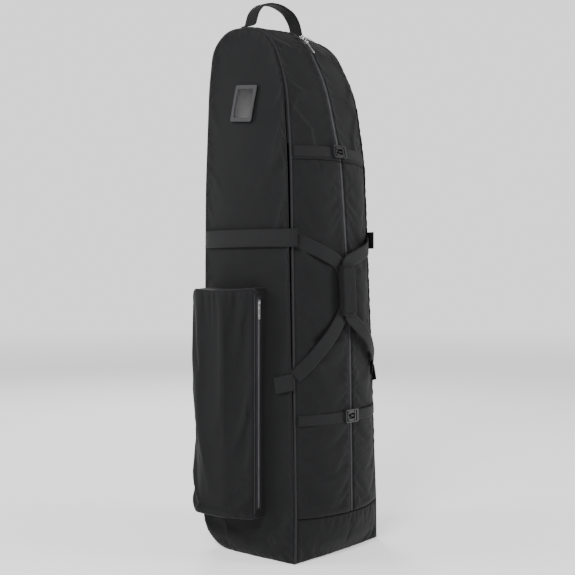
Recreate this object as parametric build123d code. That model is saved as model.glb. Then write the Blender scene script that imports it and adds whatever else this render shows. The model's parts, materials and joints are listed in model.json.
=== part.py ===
from build123d import *
import math
import os

# Golf travel bag, millimetres. X is the width, -Y the zipped front, +Y the wheeled back, +Z up.
# The sewn shell follows one closed side outline, the arch: up the front, over the top, down the
# back and round the wheeled corner. Every panel is a sheet about its middle surface.

# ---------------------------------------------------------------- driving dimensions
SHEET = 5.0                # padded fabric thickness
SEAM_GAP = 3.5             # panel edge to seam centre line
PIPING_R = 3.0
SPLIT_Z = 925.0            # top of the opening front flaps
BAND_Z = 100.0             # top of the fixed base band
FRONT_Y = -142.0           # front seams at the base
FRONT_TOP_Y = -114.0       # front seams at the split
BACK_Y = 149.0             # lower back, a flat stiff panel
CORNER_R = 88.0            # wheeled bottom corner, at the middle surface
FLOOR_Z = 3.3              # middle surface of the base, level with the lowest piping

# half width between the seams at each height
WIDTHS = [(0, 157), (100, 156), (925, 140), (1110, 130), (1256, 117)]
# bulge of the front at the zipper, of the back at its middle, and of the side panels
FRONT_CROWN = [(0, 5), (40, 28), (100, 42), (500, 50), (720, 46), (925, 37), (1050, 22), (1110, 16),
               (1180, 11), (1250, 11), (1256, 14)]
BACK_CROWN = [(90, 0.1), (330, 0.1), (374, 1), (871, 11), (1120, 8), (1200, 8), (1250, 11), (1256, 14)]
SIDE_CROWN = [(0, 2), (50, 14), (120, 25), (400, 31), (925, 27), (1050, 21), (1150, 11), (1262, 1.5)]

# the arch, as corners (y, z) each rounded by its own radius
HOOD_R = 120.0
ARCH = [
    ((FRONT_Y, 0), None),
    ((FRONT_Y, BAND_Z), 1500),
    ((FRONT_TOP_Y, SPLIT_Z), 1200),
    ((-92, 1110), 330),
    ((-24.4, 1256), HOOD_R),
    ((108, 1256), 65),
    ((150, 1216), 65),
    ((155, 1120), 900),
    ((155, 871), 3000),
    ((BACK_Y, 374), 3000),
    ((BACK_Y, FLOOR_Z), CORNER_R),
    ((45, FLOOR_Z), None),
]

WHEEL_X = 101.0
WHEEL_R = 32.0
WHEEL_WIDTH = 24.0
WHEEL_Y = 125.0
AXLE_R = 4.0
BEARING_R = 11.0
RUNNING = 0.05             # radial clearance of the running fits
HOUSING_R = 94.5           # outer radius of the moulded corner
HOUSING_Y = 61.0           # its centre
HOUSING_X = (57.0, 153.0)
HOUSING_TOP = 126.0
HOUSING_SKIN = 3.6
WELL_R = 37.0
WELL_HALF = 14.5

nodes = {}


def interp(value, table):
    """Straight-line lookup in a table of (key, value) pairs."""
    if value <= table[0][0]:
        return table[0][1]
    for (a, fa), (b, fb) in zip(table, table[1:]):
        if value <= b:
            return fa + (fb - fa) * (value - a) / (b - a)
    return table[-1][1]


def half_width(z):
    return interp(z, WIDTHS)


def crown(y, z):
    """Outward bulge of the front or back panels at a point of the arch."""
    return interp(z, FRONT_CROWN if y < 40 else BACK_CROWN)


def mirrored(shape):
    return mirror(shape, about=Plane.YZ)


def block(x0, x1, y0, y1, z0, z1):
    """Box from its six limits."""
    size = (x1 - x0, y1 - y0, z1 - z0)
    centre = ((x0 + x1) / 2, (y0 + y1) / 2, (z0 + z1) / 2)
    return Pos(*centre) * Box(*size)


def rod(x0, x1, y, z, radius):
    """Cylinder along X."""
    return Pos((x0 + x1) / 2, y, z) * Rot(0, 90, 0) * Cylinder(radius, x1 - x0)


ARCH_POINTS = [point for point, _ in ARCH]
ARCH_RADII = [radius for _, radius in ARCH[1:-1]]
arch_path = FilletPolyline(*[(0, y, z) for y, z in ARCH_POINTS], radius=ARCH_RADII)


# ---------------------------------------------------------------- sheets along the arch
def crescent(origin, along, half, bulge, thickness, offset):
    """Cross-section of a crowned sheet, square to the arch, chord along X."""
    plane = Plane(origin=origin, x_dir=(1, 0, 0), z_dir=along)
    low, high = offset - thickness / 2, offset + thickness / 2
    flip = 1 if plane.y_dir.dot(outward(along)) > 0 else -1
    outer = [(-half, flip * high), (0, flip * (bulge + high)), (half, flip * high)]
    inner = [(half, flip * low), (0, flip * (bulge + low)), (-half, flip * low)]
    edges = [
        ThreePointArc(*outer),
        Line(outer[2], inner[0]),
        ThreePointArc(*inner),
        Line(inner[2], outer[0]),
    ]
    return plane * make_face(edges)


def outward(along):
    """Outward direction of the arch where it runs along the given direction."""
    return Vector(0, -along.Z, along.Y)


def arch_sheet(first, last, count, thickness=SHEET, offset=0.0, edge=SEAM_GAP):
    """Sheet between two arc-length positions on the arch, spanning seam to seam."""
    sections = []
    for i in range(count):
        s = (first + (last - first) * i / (count - 1)) / arch_path.length
        origin = arch_path.position_at(s)
        along = arch_path.tangent_at(s)
        half = half_width(origin.Z) - edge
        sections.append(crescent(origin, along, half, crown(origin.Y, origin.Z), thickness, offset))
    return loft(sections)


STEPS = 1350               # about 2 mm apart
SAMPLES = [arch_path.position_at(i / STEPS) for i in range(STEPS + 1)]


def arch_length(test):
    """Arc length of the first place on the arch that passes the test."""
    for i, point in enumerate(SAMPLES):
        if test(point):
            return arch_path.length * i / STEPS
    raise ValueError("no such place on the arch")


S_BAND = arch_length(lambda p: p.Z >= BAND_Z)
S_SPLIT = arch_length(lambda p: p.Z >= SPLIT_Z)
S_TOP = arch_length(lambda p: p.Z > 1200 and p.Y >= 2)
S_UPPER_BACK = arch_length(lambda p: p.Y > 140 and p.Z <= 871)
S_LOWER_BACK = arch_length(lambda p: p.Y > 140 and p.Z <= 374)
S_CORNER = arch_length(lambda p: p.Y > 140 and p.Z <= 92)
S_END = arch_length(lambda p: p.Z < 20 and p.Y > 0 and p.Y <= 61)


# ---------------------------------------------------------------- side panels
def side_section(z, bulge, thickness, offset, y0, y1):
    """Horizontal cross-section of the left side panel at one height."""
    low, high = offset - thickness / 2, offset + thickness / 2
    x = -half_width(z)
    middle = (y0 + y1) / 2
    edges = [
        ThreePointArc((x - high, y0), (x - bulge - high, middle), (x - high, y1)),
        Line((x - high, y1), (x - low, y1)),
        ThreePointArc((x - low, y1), (x - bulge - low, middle), (x - low, y0)),
        Line((x - low, y0), (x - high, y0)),
    ]
    return Plane.XY.offset(z) * make_face(edges)


def side_sheet(thickness=SHEET, offset=0.0):
    """Left side sheet, wider than the arch all round."""
    sections = [
        side_section(z, bulge, thickness, offset, FRONT_Y - 12, 160.0) for z, bulge in SIDE_CROWN
    ]
    return loft(sections)


def arch_prism(inset):
    """Prism along X inside the arch, inset from its middle surface."""
    corners = [(0, y, z) for y, z in ARCH_POINTS]
    corners[0] = (0, FRONT_Y, -SEAM_GAP)
    corners.append((0, ARCH_POINTS[-1][0] - 12, -SEAM_GAP))
    outline = FilletPolyline(*corners, radius=[0] + ARCH_RADII + [0, 0], close=True)
    inner = offset(make_face(outline.edges()), amount=-inset)
    solid = extrude(inner, amount=300, dir=(1, 0, 0), both=True)
    return solid & block(-300, 300, -400, 400, 0, 1400)


def side_patch(y0, y1, z0, z1, thickness, gap=0.2):
    """Patch of webbing or film sewn on the outside of the left side panel."""
    sheet = side_sheet(thickness, SHEET / 2 + gap + thickness / 2)
    return sheet & side_prism & block(-260, 0, y0, y1, z0, z1)


def front_strip(first, last, x0, x1, thickness, offset, edge=SEAM_GAP):
    """Strip that follows the outside of the front between two arc lengths."""
    sheet = arch_sheet(first, last, 5, thickness, offset, edge)
    return sheet & block(x0, x1, -300, 60, 0, 1400)


side_prism = arch_prism(SEAM_GAP)
side_panel = side_sheet() & side_prism
nodes["side_panel_left"] = side_panel
nodes["side_panel_right"] = mirrored(side_panel)

# ---------------------------------------------------------------- front, hood and back
SLIT = 8.0                 # half width of the gap that the zipper closes
GAP = 1.0                  # between panels along the arch

flap = front_strip(S_BAND + GAP, S_SPLIT - GAP, -200, -SLIT, SHEET, 0)
nodes["front_flap_left"] = flap
nodes["front_flap_right"] = mirrored(flap)

hood = arch_sheet(S_SPLIT + GAP, S_TOP, 10)
hood_left = hood & block(-200, -SLIT, -300, 60, 900, 1400)
nodes["hood_left"] = hood_left
nodes["hood_right"] = mirrored(hood_left)
nodes["hood_padding"] = arch_sheet(S_SPLIT + 40, S_TOP + 260, 14, 6, -SHEET / 2 - 5.5, 14)

nodes["front_base_band"] = arch_sheet(0, S_BAND - GAP, 5)
nodes["upper_back_panel"] = arch_sheet(S_TOP + GAP, S_UPPER_BACK - GAP, 14)
nodes["middle_back_panel"] = arch_sheet(S_UPPER_BACK + GAP, S_LOWER_BACK - GAP, 5)

HOUSING_FRONT = 42.0       # front end of the housing, under the base
HOUSING_BACK = HOUSING_Y + HOUSING_R
RIVETS = [(75, 111), (139, 111)]
BELLY_RIVET = (133, 52)    # under the housing's front tongue
RAIL_SCREWS = [107, 212, 318]
HOUSING_BAY = block(-HOUSING_X[1] - 5, 0.5 - HOUSING_X[0], 40, 170, -1, 88)
back_holes = [Pos(-x, 150, z) * Rot(90, 0, 0) * Cylinder(2.2, 30) for x, z in RIVETS]
back_holes += [Pos(-WHEEL_X, 150, z) * Rot(90, 0, 0) * Cylinder(2.2, 30) for z in RAIL_SCREWS]
lower_back = arch_sheet(S_LOWER_BACK + GAP, S_END, 14)
for cut in [HOUSING_BAY] + back_holes:
    lower_back = lower_back - cut - mirrored(cut)
nodes["lower_back_panel"] = lower_back

BASE_FRONT = FRONT_Y + SEAM_GAP + SHEET / 2
base_panel = block(-151, 151, BASE_FRONT + 1, HOUSING_Y - 3, 0, SHEET)
nodes["base_panel"] = base_panel - HOUSING_BAY - mirrored(HOUSING_BAY)
base_board = block(-146, 146, BASE_FRONT + 6, HOUSING_Y - 6, SHEET + 0.2, SHEET + 3.2)
for side in (-1, 1):
    base_board -= Pos(side * BELLY_RIVET[0], BELLY_RIVET[1], 0) * Cylinder(2.4, 30)
nodes["base_board"] = base_board
BOARD_Y = BACK_Y - SHEET / 2
nodes["back_board"] = block(-140, 140, BOARD_Y - 4.2, BOARD_Y - 0.2, 94, 370)


def seam_piping():
    """Corded seam round the left side panel, a tube of straight runs and arcs."""
    points = [(-half_width(z), y, z) for y, z in ARCH_POINTS]
    points[0] = (points[0][0], FRONT_Y, FLOOR_Z)
    path = FilletPolyline(*points, radius=ARCH_RADII)
    section = Plane(origin=path @ 0, z_dir=path % 0) * Circle(PIPING_R)
    return sweep(section, path=path)


piping = seam_piping()
nodes["seam_piping"] = Compound([piping, mirrored(piping)])

# ---------------------------------------------------------------- zippers
TAPE = 1.2
CHAIN = 1.7
CHAIN_HALF = 3.0
TAPE_OFFSET = SHEET / 2 - 3.8
CHAIN_OFFSET = SHEET / 2 - 2.4


def zipper_half(first, last, x0):
    """Left tape and coil between two arc lengths, from x0 at the middle outwards."""
    tape = front_strip(first, last, 0.2 - SLIT, x0, TAPE, TAPE_OFFSET)
    coil = front_strip(first, last, -CHAIN_HALF, x0, CHAIN, CHAIN_OFFSET)
    return tape + coil


flap_zipper = zipper_half(S_BAND + GAP, S_SPLIT - GAP, -0.3)
nodes["flap_zipper_left"] = flap_zipper
nodes["flap_zipper_right"] = mirrored(flap_zipper)

hood_tape = arch_sheet(S_SPLIT + GAP, S_TOP - 4, 10, TAPE, TAPE_OFFSET)
hood_chain = arch_sheet(S_SPLIT + GAP, S_TOP - 4, 10, CHAIN, CHAIN_OFFSET)
hood_zipper = hood_tape & block(0.2 - SLIT, SLIT - 0.2, -300, 60, 900, 1400)
hood_zipper += hood_chain & block(-CHAIN_HALF, CHAIN_HALF, -300, 60, 900, 1400)
nodes["hood_zipper"] = hood_zipper

SLIDER_LENGTH = 14.0
SLIDER_HALF = 4.6
PLATE_Z = (0.3, 1.7)       # slider's top plate above the fabric
BAIL_HALF = 1.2
BAIL_HEIGHT = 4.5
PIN_Z = PLATE_Z[1] + 1.3
RING_Z = PLATE_Z[1] + 3.55
PULL_LENGTH = 40.0         # from the pin to the tip
PULL_WIDTH = 7.0
PULL_THICK = 1.4


def slider_body():
    """Slider over a closed coil: x across, y along the chain, z out of the fabric."""
    half = SLIDER_LENGTH / 2
    body = block(-SLIDER_HALF, SLIDER_HALF, -half, half, *PLATE_Z)
    body = fillet(body.edges().filter_by(Axis.Z), 2)
    for side in (-1, 1):
        low, high = sorted((side * (SLIDER_HALF - 1), side * SLIDER_HALF))
        body += block(low, high, 3 - half, half - 3, -2.8, PLATE_Z[0])
    bail = block(-BAIL_HALF, BAIL_HALF, -5, 5, PLATE_Z[1], PLATE_Z[1] + BAIL_HEIGHT)
    bail = chamfer(bail.edges().filter_by(Axis.X).group_by(Axis.Z)[-1], 1.2)
    bail -= block(-3, 3, -3.3, 3.3, PLATE_Z[1], PLATE_Z[1] + 2.6)
    return body + bail


def pull_plate(start):
    """Flat puller along -y from a start distance, with an eye near its tip."""
    tip = -PULL_LENGTH
    plate = block(-PULL_WIDTH / 2, PULL_WIDTH / 2, tip, -start, -PULL_THICK / 2, PULL_THICK / 2)
    plate = fillet(plate.edges().filter_by(Axis.Z).group_by(Axis.Y)[0], 3)
    plate -= Pos(0, tip + 4.5, 0) * Cylinder(1.9, 4)
    window = block(-1.5, 1.5, tip + 11, tip + 24, -2, 2)
    return plate - fillet(window.edges().filter_by(Axis.Z), 1.4)


def forked_pull():
    """Puller whose cross pin runs through the slider's bail, about x through the origin."""
    pull = pull_plate(9)
    for side in (-1, 1):
        low, high = sorted((side * 2.2, side * PULL_WIDTH / 2))
        pull += block(low, high, -9.5, 0.7, -PULL_THICK / 2, PULL_THICK / 2)
    return pull + rod(-3, 3, 0, 0, 0.8)


def ringed_pull():
    """Puller whose ring goes round the bail's top bar, about y through the origin."""
    ring = Rot(90, 0, 0) * (Cylinder(3.1, 3) - Cylinder(1.9, 4))
    plate = Rot(0, 0, 90) * pull_plate(2.6)
    return ring + plate


HEAD = math.atan2(ARCH[4][0][0] - ARCH[3][0][0], ARCH[4][0][1] - ARCH[3][0][1])
HOOD_CENTRE = (
    ARCH[4][0][0] + HOOD_R * math.tan((math.pi / 2 - HEAD) / 2),
    ARCH[4][0][1] - HOOD_R,
)
HOOD_SURFACE = HOOD_R + interp(1200, FRONT_CROWN) + SHEET / 2
LOWER_SLIDER = 46.5        # degrees forward of the vertical about the hood's centre
UPPER_SLIDER = 38.8


def on_hood(degrees, height):
    """Frame on the hood's arc at the zipper: x across, y up the chain, z outward."""
    a = math.radians(degrees)
    out = Vector(0, -math.sin(a), math.cos(a))
    origin = Vector(0, *HOOD_CENTRE) + out * (HOOD_SURFACE + height)
    return Plane(origin=origin, x_dir=(1, 0, 0), z_dir=out)


REST_DIP = 4.5             # degrees that the lower puller leans towards the fabric
SIDE_DIP = 5.0
lower_frame = on_hood(LOWER_SLIDER, 0)
upper_frame = on_hood(UPPER_SLIDER, 0)
nodes["main_slider_lower"] = lower_frame.location * slider_body()
nodes["main_slider_upper"] = upper_frame.location * slider_body()
nodes["main_puller_lower"] = lower_frame.location * Pos(0, 0, PIN_Z) * Rot(REST_DIP, 0, 0) * forked_pull()
nodes["main_puller_upper"] = upper_frame.location * Pos(0, 0, RING_Z) * Rot(0, SIDE_DIP, 0) * ringed_pull()

# ---------------------------------------------------------------- side pockets
POCKET_Y = (-60.0, 135.0)
POCKET_Z = (100.0, 628.0)
POCKET_OUT = 236.0
POCKET_WALL = 3.0
POCKET_ZIP_X = -193.0
POCKET_ZIP_Z = (124.0, 606.0)
POCKET_SLIT = 5.0


def pocket_block(inset):
    """Left pocket's outer form, or its hollow when inset by the wall."""
    y0, y1 = POCKET_Y[0] + inset, POCKET_Y[1] - inset
    z0, z1 = POCKET_Z[0] + inset, POCKET_Z[1] - inset
    out = POCKET_OUT - inset
    plan = [(-120, y0), (-205 + inset, y0), (-out, 15), (-out, 95), (-212, y1), (-120, y1)]
    plan_face = make_face(FilletPolyline(*plan, radius=[0, 8 - inset, 70, 45, 25, 0], close=True).edges())
    side = [(y0, z0), (y1, z0), (y1, z1), (y0, z1)]
    side_face = make_face(FilletPolyline(*side, radius=[8, 34, 34, 8], close=True).edges())
    column = extrude(Pos(0, 0, z0) * plan_face, amount=z1 - z0)
    return column & (Pos(-300, 0, 0) * extrude(Plane.YZ * side_face, amount=200))


def inside_of_side(clearance):
    """Everything inboard of the left side panel's outer face."""
    depth = 120.0
    return side_sheet(depth, SHEET / 2 + clearance - depth / 2)


pocket = pocket_block(0) - pocket_block(POCKET_WALL) - inside_of_side(0.3)
pocket -= block(POCKET_ZIP_X - POCKET_SLIT, POCKET_ZIP_X + POCKET_SLIT, POCKET_Y[0] - 5, POCKET_Y[0] + 8,
                *POCKET_ZIP_Z)
nodes["pocket_left"] = pocket
nodes["pocket_right"] = mirrored(pocket)

ZIP_BACK = POCKET_Y[0] + POCKET_WALL
pocket_zipper = block(POCKET_ZIP_X - 6.6, POCKET_ZIP_X + 6.6, ZIP_BACK + 0.2, ZIP_BACK + 1.2,
                      POCKET_ZIP_Z[0] - 6, POCKET_ZIP_Z[1] + 6)
pocket_zipper += block(POCKET_ZIP_X - CHAIN_HALF, POCKET_ZIP_X + CHAIN_HALF, ZIP_BACK - 1.6, ZIP_BACK + 0.2,
                       *POCKET_ZIP_Z)
nodes["pocket_zipper_left"] = pocket_zipper
nodes["pocket_zipper_right"] = mirrored(pocket_zipper)

POCKET_SLIDER_Z = POCKET_ZIP_Z[1] - SLIDER_LENGTH / 2 - 2
pocket_frame = Plane(origin=(POCKET_ZIP_X, POCKET_Y[0], POCKET_SLIDER_Z), x_dir=(1, 0, 0), z_dir=(0, -1, 0))
pocket_slider = pocket_frame.location * slider_body()
pocket_puller = pocket_frame.location * Pos(0, 0, PIN_Z) * forked_pull()
nodes["pocket_slider_left"] = pocket_slider
nodes["pocket_slider_right"] = mirrored(pocket_slider)
nodes["pocket_puller_left"] = pocket_puller
nodes["pocket_puller_right"] = mirrored(pocket_puller)

# ---------------------------------------------------------------- wheel housings
def along_y(x, z, y0, y1, radius):
    """Cylinder along Y."""
    return Pos(x, (y0 + y1) / 2, z) * Rot(90, 0, 0) * Cylinder(radius, y1 - y0)


def wheel_disc(half, radius):
    """Cylinder about the left wheel's axle, centred on the wheel."""
    return rod(-WHEEL_X - half, -WHEEL_X + half, WHEEL_Y, WHEEL_R, radius)


VENTS = 8
VENT_X = 133.0
VENT_SIZE = (15.0, 7.0)
VENT_FIRST = 5.2           # degrees below the horizontal through the housing's centre
VENT_PITCH = 10.3
LUG_HALF = 20.0            # outer faces of the axle lugs from the wheel's centre
HEAD_R = 6.0


def vent_hole(degrees):
    """One slotted vent through the housing's skin."""
    a = math.radians(degrees)
    out = Vector(0, math.cos(a), -math.sin(a))
    origin = Vector(-VENT_X, HOUSING_Y, HOUSING_R) + out * HOUSING_R
    face = Plane(origin=origin, x_dir=(1, 0, 0), z_dir=out) * SlotOverall(*VENT_SIZE)
    return extrude(face, amount=8, both=True)


def wheel_housing():
    """Moulded corner round the left wheel: skin, wheel well, axle lugs and vents."""
    x0, x1 = -HOUSING_X[1], -HOUSING_X[0]
    skin = rod(x0, x1, HOUSING_Y, HOUSING_R, HOUSING_R)
    skin -= rod(x0 - 1, x1 + 1, HOUSING_Y, HOUSING_R, HOUSING_R - HOUSING_SKIN)
    skin &= block(x0, x1, HOUSING_Y, 200, 0, HOUSING_R)
    skin += block(x0, x1, HOUSING_FRONT, HOUSING_Y, 0, HOUSING_SKIN)
    skin += block(x0, x1, HOUSING_BACK - HOUSING_SKIN, HOUSING_BACK, HOUSING_R, HOUSING_TOP)
    corners = [(x0, -5), (x1, -5), (x1, HOUSING_TOP), (x0, HOUSING_TOP)]
    outline = make_face(FilletPolyline(*corners, radius=[0, 0, 14, 14], close=True).edges())
    skin &= extrude(Plane.XZ * outline, amount=250, both=True)
    well = wheel_disc(WELL_HALF + 3, WELL_R + 3) & rod(x0, x1, HOUSING_Y, HOUSING_R, HOUSING_R - 1)
    body = skin + well + wheel_disc(LUG_HALF, 9)
    body -= wheel_disc(WELL_HALF, WELL_R)
    body -= wheel_disc(LUG_HALF + 10, AXLE_R + RUNNING)
    for side in (-1, 1):
        centre = -WHEEL_X + side * (LUG_HALF + 2.5)
        body -= rod(centre - 2.5, centre + 2.5, WHEEL_Y, WHEEL_R, HEAD_R + 0.8)
    body -= block(-WHEEL_X - 16.5, -WHEEL_X + 16.5, BACK_Y + SHEET / 2 + 0.1, 170, 72, 130)
    for i in range(VENTS):
        body -= vent_hole(VENT_FIRST + VENT_PITCH * i)
    for x, z in RIVETS:
        body -= along_y(-x, z, 140, 160, 2.2)
    x, y = BELLY_RIVET
    body -= Pos(-x, y, 0) * Cylinder(5.4, 4)
    return body - Pos(-x, y, 0) * Cylinder(2.2, 20)


housing = wheel_housing()
nodes["wheel_housing_left"] = housing
nodes["wheel_housing_right"] = mirrored(housing)


def rivet():
    """Domed rivet along +z, its head's underside at the origin."""
    head = Cylinder(5, 1.6, align=(Align.CENTER, Align.CENTER, Align.MIN))
    head = fillet(head.edges().group_by(Axis.Z)[-1], 1.2)
    return head + Pos(0, 0, -4) * Cylinder(2, 8)


rivets = []
for x, z in RIVETS:
    rivets.append(Pos(-x, HOUSING_BACK, z) * Rot(-90, 0, 0) * rivet())
rivets.append(Pos(-BELLY_RIVET[0], BELLY_RIVET[1], 1.9) * Rot(180, 0, 0) * rivet())
rivets += [mirrored(one) for one in rivets]
nodes["housing_rivets"] = Compound(rivets)

axle = wheel_disc(LUG_HALF + 3.5, AXLE_R)
for side in (-1, 1):
    centre = -WHEEL_X + side * (LUG_HALF + 1.9)
    axle += rod(centre - 1.6, centre + 1.6, WHEEL_Y, WHEEL_R, HEAD_R)
nodes["wheel_axles"] = Compound([axle, mirrored(axle)])

# ---------------------------------------------------------------- wheels
TYRE_IN = 22.5
BEARING_WIDTH = 7.0
HUB_HALF = 10.5


def wheel_ring(half, outer, inner):
    return wheel_disc(half, outer) - wheel_disc(half + 1, inner)


tyre = wheel_ring(WHEEL_WIDTH / 2, WHEEL_R, TYRE_IN)
tread_edges = [edge for edge in tyre.edges().filter_by(GeomType.CIRCLE) if edge.radius > WHEEL_R - 1]
tyre = fillet(tread_edges, 6)

hub = wheel_ring(HUB_HALF, TYRE_IN, 19.5) + wheel_ring(HUB_HALF, 14, BEARING_R)
for i in range(6):
    spoke = block(-WHEEL_X - 6, -WHEEL_X + 6, -2.2, 2.2, 13, 20.5)
    hub += Pos(0, WHEEL_Y, WHEEL_R) * Rot(60 * i, 0, 0) * spoke

bearing = wheel_ring(BEARING_WIDTH / 2, BEARING_R - 0.02, AXLE_R + RUNNING)
BEARING_AT = HUB_HALF - BEARING_WIDTH / 2
bearings = Pos(-BEARING_AT, 0, 0) * bearing + Pos(BEARING_AT, 0, 0) * bearing

wheel_parts = {"tyre": tyre, "wheel_hub": hub, "wheel_bearings": bearings}
for name, part in wheel_parts.items():
    nodes[name + "_left"] = part
    nodes[name + "_right"] = mirrored(part)

# ---------------------------------------------------------------- back rails
RAIL_Z = (76.0, 353.0)
RAIL_Y = (BACK_Y + SHEET / 2 + 0.7, BACK_Y + SHEET / 2 + 8.7)


def skid_rail():
    """Left rail of the back, flared at both ends, with its screw recesses."""
    x = -WHEEL_X
    z0, z1 = RAIL_Z
    half = [(15, z0), (15, z0 + 6), (10.5, z0 + 38), (10.5, z1 - 38), (15, z1 - 6), (15, z1)]
    outline = [(x + dx, z) for dx, z in half] + [(x - dx, z) for dx, z in reversed(half)]
    face = Plane.XZ * make_face(Polyline(*outline, close=True).edges())
    rail = extrude(face, amount=RAIL_Y[1] - RAIL_Y[0], dir=(0, 1, 0))
    rail = Pos(0, RAIL_Y[0], 0) * rail
    rail = chamfer(rail.edges().group_by(Axis.Y)[-1], 2)
    for z in RAIL_SCREWS:
        rail -= along_y(x, z, RAIL_Y[1] - 2, RAIL_Y[1] + 1, 4.9)
        rail -= along_y(x, z, RAIL_Y[0] - 1, RAIL_Y[1], 2.2)
    return rail


rail = skid_rail()
nodes["skid_rails"] = Compound([rail, mirrored(rail)])
screws = []
for z in RAIL_SCREWS:
    screw = along_y(-WHEEL_X, z, BACK_Y, RAIL_Y[1] - 1.9, 2)
    screw += along_y(-WHEEL_X, z, RAIL_Y[1] - 1.9, RAIL_Y[1] - 0.3, 4.5)
    screws += [screw, mirrored(screw)]
nodes["rail_screws"] = Compound(screws)

# ---------------------------------------------------------------- top handle
HANDLE_Y = 57.0
HANDLE_PIN = 1275.0        # height of the fold line
HANDLE_WIDTH = 38.0
HANDLE_THICK = 4.6
HANDLE_TOP = 1328.0
HANDLE_FOOT = 85.0

arch_line = FilletPolyline(
    (-HANDLE_FOOT, 0, HANDLE_PIN + 6),
    (-HANDLE_FOOT + 11, 0, HANDLE_TOP),
    (HANDLE_FOOT - 11, 0, HANDLE_TOP),
    (HANDLE_FOOT, 0, HANDLE_PIN + 6),
    radius=24,
)
strip = trace(Plane.XZ.location.inverse() * arch_line, HANDLE_THICK)
handle = extrude(Plane.XZ * strip, amount=HANDLE_WIDTH / 2, both=True)
nodes["top_handle"] = Pos(0, HANDLE_Y, 0) * handle
ANCHOR_FOOT = 1265.8       # just clear of the crowned top under its inner end
anchor = block(-HANDLE_FOOT - 7, -HANDLE_FOOT + 3, HANDLE_Y - 8, HANDLE_Y + 8, ANCHOR_FOOT, HANDLE_PIN - 2)
nodes["handle_anchors"] = Compound([anchor, mirrored(anchor)])

# ---------------------------------------------------------------- side webbing and window
WEB = 2.2
BAND = (724.0, 766.0)
LOOP_ANCHOR = (395.0, 437.0)

side_web = side_patch(-132, 143, *BAND, WEB)
side_web_low = side_patch(-135, -112, *LOOP_ANCHOR, WEB)
webs = [side_web, side_web_low]
nodes["side_webbing"] = Compound(webs + [mirrored(one) for one in webs])

WINDOW_Y = 21.0
WINDOW_Z = 1067.0


def window_prism(width, height):
    """Rounded prism along X at the window, leaning a little forward."""
    plane = Plane(origin=(-190, WINDOW_Y, WINDOW_Z), x_dir=(0, 1, 0.1), z_dir=(1, 0, 0))
    return extrude(plane * RectangleRounded(width, height, 5), amount=120)


frame_sheet = side_sheet(1.6, SHEET / 2 + 1.0)
film_sheet = side_sheet(0.4, SHEET / 2 + 1.0)
nodes["id_window_frame"] = frame_sheet & (window_prism(70, 88) - window_prism(52, 70))
nodes["id_window_film"] = film_sheet & window_prism(51.6, 69.6)

# ---------------------------------------------------------------- webbing and buckles in front
STRAP = 1.8
STRAP_WIDTH = 25.0
STRAP_HEIGHT = SHEET / 2 + 0.9 + STRAP / 2
BUCKLE_WIDTH = 31.0
BUCKLE_BASE = 1.0
BUCKLE_TOP = 10.0
UPPER_STRAP_Z = 945.0
LOWER_STRAP_Z = 325.0


def front_point(x, s, height):
    """Point over the front at a height above the fabric."""
    origin = arch_path.position_at(s / arch_path.length)
    along = arch_path.tangent_at(s / arch_path.length)
    half = half_width(origin.Z) - SEAM_GAP
    bulge = crown(origin.Y, origin.Z)
    radius = (half * half + bulge * bulge) / (2 * bulge)
    rise = math.sqrt(radius * radius - x * x) - radius + bulge
    return origin + Vector(x, 0, 0) + outward(along) * (rise + SHEET / 2 + height)


def front_frame(x, s):
    """Frame on the outside of the front: x across, y up the front, z outward."""
    across = front_point(x + 1, s, 0) - front_point(x - 1, s, 0)
    up = front_point(x, s + 5, 0) - front_point(x, s - 5, 0)
    return Plane(origin=front_point(x, s, 0), x_dir=across, z_dir=across.cross(up))


def buckle_female():
    """Open tray of the buckle with its webbing bar at the left, 1 mm short of x = 0."""
    half = BUCKLE_WIDTH / 2
    body = block(-32, -1, -half, half, BUCKLE_BASE, BUCKLE_TOP)
    body = fillet(body.edges().filter_by(Axis.Z).group_by(Axis.X)[0], 4)
    body -= block(-24, 1, -half + 3, half - 3, BUCKLE_BASE + 2, 20)
    return body - block(-29.5, -26, 2.6 - half, half - 2.6, -5, 20)


def buckle_male():
    """Latch half: grip body from x = 1 and two prongs that lie in the tray."""
    half = BUCKLE_WIDTH / 2
    body = block(1, 16, -half, half, STRAP + BUCKLE_BASE + 0.5, BUCKLE_TOP)
    body = fillet(body.edges().filter_by(Axis.Z).group_by(Axis.X)[-1], 4)
    body -= block(5.5, 9.5, 2.6 - half, half - 2.6, 0, 20)
    for side in (-1, 1):
        low, high = sorted((side * 6.5, side * 11.8))
        arm = block(-21, 1.5, low, high, 3.6, BUCKLE_TOP - 1)
        outer_tip = arm.edges().filter_by(Axis.Z).group_by(Axis.X)[0]
        body += chamfer(outer_tip, 2)
    return body + block(-10, 1.5, -2, 2, 3.6, BUCKLE_TOP - 2)


def strap_turn():
    """Webbing turned over the tray's bar, down into its slot."""
    half = STRAP_WIDTH / 2
    turn = block(-34.2, -26.4, -half, half, BUCKLE_BASE + 0.1, BUCKLE_TOP + 1.9)
    turn -= block(-32.2, -29.2, -half - 1, half + 1, -1, BUCKLE_TOP + 0.1)
    return turn + block(-34.2, -32.2, -half, half, -1.1, 1.2)


for name, z in (("upper", UPPER_STRAP_Z), ("lower", LOWER_STRAP_Z)):
    centre = arch_length(lambda p: p.Z >= z)
    first, last = centre - STRAP_WIDTH / 2, centre + STRAP_WIDTH / 2
    frame = front_frame(0, centre).location
    end = half_width(z) - 7
    left = front_strip(first, last, -end, -33.2, STRAP, STRAP_HEIGHT)
    right = front_strip(first, last, 1.5, end, STRAP, STRAP_HEIGHT)
    nodes["strap_left_" + name] = left + frame * strap_turn()
    nodes["strap_right_" + name] = right
    nodes["buckle_female_" + name] = frame * buckle_female()
    nodes["buckle_male_" + name] = frame * buckle_male()

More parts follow.
